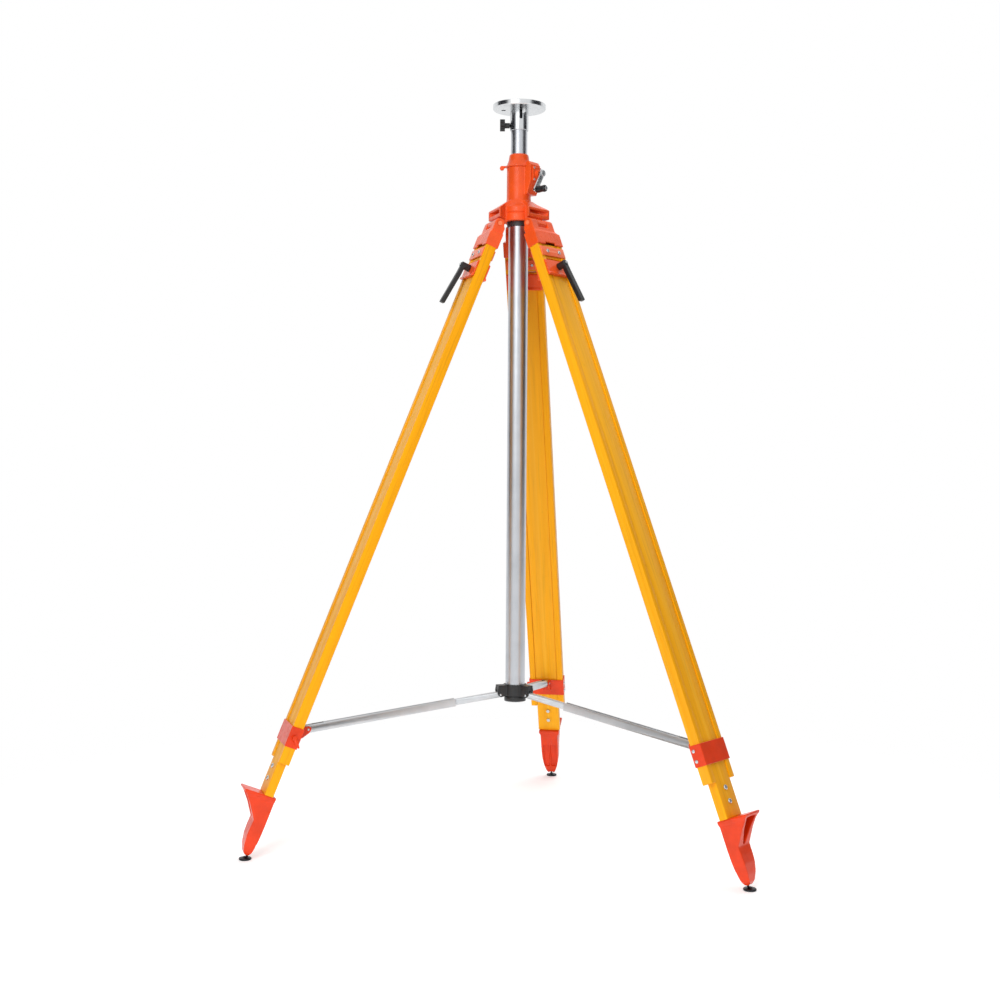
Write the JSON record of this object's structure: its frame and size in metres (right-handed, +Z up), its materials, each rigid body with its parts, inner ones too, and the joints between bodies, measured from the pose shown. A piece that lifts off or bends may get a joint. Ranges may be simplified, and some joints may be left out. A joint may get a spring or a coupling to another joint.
{
  "type": "elevating instrument tripod",
  "caption": "Heavy elevating tripod for a laser level: crank-driven column, round instrument plate, telescoping clamped legs, sliding spreader and levelling feet.",
  "frame": {"origin": "on the floor, on the axis of the column, level with the undersides of the foot pads", "axes": "+Z up along the column; +Y towards the back leg; the other legs stand at 210 and 330 degrees"},
  "size_m": [1.2948, 1.1309, 1.968],
  "materials": {
    "orange_casting": "gloss enamel",
    "red_orange_casting": "gloss enamel",
    "yellow_leg": "glossy coating",
    "column_aluminium": "drawn, polished",
    "turned_aluminium": "turned",
    "strut_aluminium": "satin",
    "bright_steel": "zinc plated",
    "blackened_steel": "blackened",
    "black_plastic": "moulded"
  },
  "bodies": {
    "frame": {"head_casting": "orange_casting", "head_cap": "orange_casting", "gearbox_cover": "orange_casting", "guide_bushes": "black_plastic", "hinge_pins": "orange_casting", "outer_column": "column_aluminium", "column_end_ring": "column_aluminium"},
    "hub": {"spreader_hub": "black_plastic"},
    "riser": {"inner_tube": "column_aluminium", "gear_rack": "bright_steel"},
    "crank": {"drive_pinion": "bright_steel", "crank_arm": "bright_steel"},
    "grip": {"crank_grip": "black_plastic"},
    "head": {"head_sleeve": "turned_aluminium", "instrument_plate": "turned_aluminium"},
    "screw": {"fixing_screw": "blackened_steel"},
    "head_knob": {"sleeve_knob": "black_plastic"},
    "leg_back": {"hinge_bracket_back": "orange_casting", "leg_rails_back": "yellow_leg", "rail_strap_back": "orange_casting", "leg_screws_back": "bright_steel", "lower_collar_back": "red_orange_casting"},
    "board_back": {"leg_board_back": "yellow_leg", "upper_clamp_back": "orange_casting", "foot_casting_back": "red_orange_casting", "foot_bolts_back": "bright_steel"},
    "lever_back": {"ratchet_lever_back": "black_plastic"},
    "wing_back": {"collar_wing_back": "red_orange_casting"},
    "pad_back": {"foot_pad_back": "blackened_steel"},
    "outer_back": {"outer_strut_back": "strut_aluminium"},
    "inner_back": {"inner_strut_back": "strut_aluminium"},
    "leg_left": {"hinge_bracket_left": "orange_casting", "leg_rails_left": "yellow_leg", "rail_strap_left": "orange_casting", "leg_screws_left": "bright_steel", "lower_collar_left": "red_orange_casting"},
    "board_left": {"leg_board_left": "yellow_leg", "upper_clamp_left": "orange_casting", "foot_casting_left": "red_orange_casting", "foot_bolts_left": "bright_steel"},
    "lever_left": {"ratchet_lever_left": "black_plastic"},
    "wing_left": {"collar_wing_left": "red_orange_casting"},
    "pad_left": {"foot_pad_left": "blackened_steel"},
    "outer_left": {"outer_strut_left": "strut_aluminium"},
    "inner_left": {"inner_strut_left": "strut_aluminium"},
    "leg_right": {"hinge_bracket_right": "orange_casting", "leg_rails_right": "yellow_leg", "rail_strap_right": "orange_casting", "leg_screws_right": "bright_steel", "lower_collar_right": "red_orange_casting"},
    "board_right": {"leg_board_right": "yellow_leg", "upper_clamp_right": "orange_casting", "foot_casting_right": "red_orange_casting", "foot_bolts_right": "bright_steel"},
    "lever_right": {"ratchet_lever_right": "black_plastic"},
    "wing_right": {"collar_wing_right": "red_orange_casting"},
    "pad_right": {"foot_pad_right": "blackened_steel"},
    "outer_right": {"outer_strut_right": "strut_aluminium"},
    "inner_right": {"inner_strut_right": "strut_aluminium"}
  },
  "joints": [
    {"name": "column_rise", "type": "slide", "parent": "frame", "child": "riser", "axis": [0, 0, 1], "range_m": [0, 0.95]},
    {"name": "crank_turn", "type": "hinge", "parent": "frame", "child": "crank", "pos_m": [0.00563, 0.0106, 1.766], "axis": [-0.8829, 0.4695, 0], "range_deg": [0, 4536]},
    {"name": "grip_spin", "type": "hinge", "parent": "crank", "child": "grip", "pos_m": [0.0627, -0.05248, 1.71921], "axis": [0.8829, -0.4695, 0], "continuous": true},
    {"name": "head_turn", "type": "hinge", "parent": "riser", "child": "head", "pos_m": [0, 0, 1.9], "axis": [0, 0, 1], "continuous": true},
    {"name": "screw_turn", "type": "hinge", "parent": "head", "child": "screw", "pos_m": [0, 0, 1.93], "axis": [0, 0, 1], "continuous": true},
    {"name": "head_knob_turn", "type": "hinge", "parent": "head", "child": "head_knob", "pos_m": [-0.02954, -0.00521, 1.898], "axis": [-0.9848, -0.1736, 0], "range_deg": [0, 540]},
    {"name": "leg_fold_back", "type": "hinge", "parent": "frame", "child": "leg_back", "pos_m": [0, 0.068, 1.63], "axis": [-1, 0, 0], "range_deg": [0, 19]},
    {"name": "outer_strut_back_turn", "type": "hinge", "parent": "leg_back", "child": "outer_back", "pos_m": [0, 0.565, 0.322], "axis": [-1, 0, 0], "range_deg": [0, 56.94]},
    {"name": "inner_strut_back_turn", "type": "hinge", "parent": "hub", "child": "inner_back", "pos_m": [0, 0.045, 0.384], "axis": [-1, 0, 0], "range_deg": [0, 75.94]},
    {"name": "leg_extend_back", "type": "slide", "parent": "leg_back", "child": "board_back", "axis": [0, 0.379, -0.9254], "range_m": [0, 0.9]},
    {"name": "lever_back_turn", "type": "hinge", "parent": "board_back", "child": "lever_back", "pos_m": [0, 0.11878, 1.50599], "axis": [0, 0.9254, 0.379], "range_deg": [-60, 60]},
    {"name": "wing_back_turn", "type": "hinge", "parent": "leg_back", "child": "wing_back", "pos_m": [-0.065, 0.60841, 0.31037], "axis": [-1, 0, 0], "range_deg": [-180, 180]},
    {"name": "pad_back_tilt", "type": "hinge", "parent": "board_back", "child": "pad_back", "pos_m": [0, 0.718, 0.024], "axis": [-1, 0, 0], "range_deg": [-12, 12]},
    {"name": "leg_fold_left", "type": "hinge", "parent": "frame", "child": "leg_left", "pos_m": [-0.05889, -0.034, 1.63], "axis": [0.5, -0.866, 0], "range_deg": [0, 19]},
    {"name": "outer_strut_left_turn", "type": "hinge", "parent": "leg_left", "child": "outer_left", "pos_m": [-0.4893, -0.2825, 0.322], "axis": [0.5, -0.866, 0], "range_deg": [0, 56.94]},
    {"name": "inner_strut_left_turn", "type": "hinge", "parent": "hub", "child": "inner_left", "pos_m": [-0.03897, -0.0225, 0.384], "axis": [0.5, -0.866, 0], "range_deg": [0, 75.94]},
    {"name": "leg_extend_left", "type": "slide", "parent": "leg_left", "child": "board_left", "axis": [-0.3282, -0.1895, -0.9254], "range_m": [0, 0.9]},
    {"name": "lever_left_turn", "type": "hinge", "parent": "board_left", "child": "lever_left", "pos_m": [-0.10287, -0.05939, 1.50599], "axis": [-0.8014, -0.4627, 0.379], "range_deg": [-60, 60]},
    {"name": "wing_left_turn", "type": "hinge", "parent": "leg_left", "child": "wing_left", "pos_m": [-0.4944, -0.3605, 0.31037], "axis": [0.5, -0.866, 0], "range_deg": [-180, 180]},
    {"name": "pad_left_tilt", "type": "hinge", "parent": "board_left", "child": "pad_left", "pos_m": [-0.62181, -0.359, 0.024], "axis": [0.5, -0.866, 0], "range_deg": [-12, 12]},
    {"name": "leg_fold_right", "type": "hinge", "parent": "frame", "child": "leg_right", "pos_m": [0.05889, -0.034, 1.63], "axis": [0.5, 0.866, 0], "range_deg": [0, 19]},
    {"name": "outer_strut_right_turn", "type": "hinge", "parent": "leg_right", "child": "outer_right", "pos_m": [0.4893, -0.2825, 0.322], "axis": [0.5, 0.866, 0], "range_deg": [0, 56.94]},
    {"name": "inner_strut_right_turn", "type": "hinge", "parent": "hub", "child": "inner_right", "pos_m": [0.03897, -0.0225, 0.384], "axis": [0.5, 0.866, 0], "range_deg": [0, 75.94]},
    {"name": "leg_extend_right", "type": "slide", "parent": "leg_right", "child": "board_right", "axis": [0.3282, -0.1895, -0.9254], "range_m": [0, 0.9]},
    {"name": "lever_right_turn", "type": "hinge", "parent": "board_right", "child": "lever_right", "pos_m": [0.10287, -0.05939, 1.50599], "axis": [0.8014, -0.4627, 0.379], "range_deg": [-60, 60]},
    {"name": "wing_right_turn", "type": "hinge", "parent": "leg_right", "child": "wing_right", "pos_m": [0.5594, -0.24791, 0.31037], "axis": [0.5, 0.866, 0], "range_deg": [-180, 180]},
    {"name": "pad_right_tilt", "type": "hinge", "parent": "board_right", "child": "pad_right", "pos_m": [0.62181, -0.359, 0.024], "axis": [0.5, 0.866, 0], "range_deg": [-12, 12]},
    {"name": "hub_rise", "type": "slide", "parent": "frame", "child": "hub", "axis": [0, 0, 1], "range_m": [0, 0.3673]}
  ],
  "couplings": [
    {"joint": "crank_turn", "follows": "column_rise", "rad_per_m": 83.333},
    {"joint": "outer_strut_back_turn", "follows": "leg_fold_back", "ratio": 2.9916},
    {"joint": "inner_strut_back_turn", "follows": "leg_fold_back", "ratio": 3.9916},
    {"joint": "leg_fold_left", "follows": "leg_fold_back", "ratio": 1},
    {"joint": "outer_strut_left_turn", "follows": "leg_fold_back", "ratio": 2.9916},
    {"joint": "inner_strut_left_turn", "follows": "leg_fold_back", "ratio": 3.9916},
    {"joint": "leg_fold_right", "follows": "leg_fold_back", "ratio": 1},
    {"joint": "outer_strut_right_turn", "follows": "leg_fold_back", "ratio": 2.9916},
    {"joint": "inner_strut_right_turn", "follows": "leg_fold_back", "ratio": 3.9916},
    {"joint": "hub_rise", "follows": "leg_fold_back", "m_per_rad": 1.1061}
  ]
}
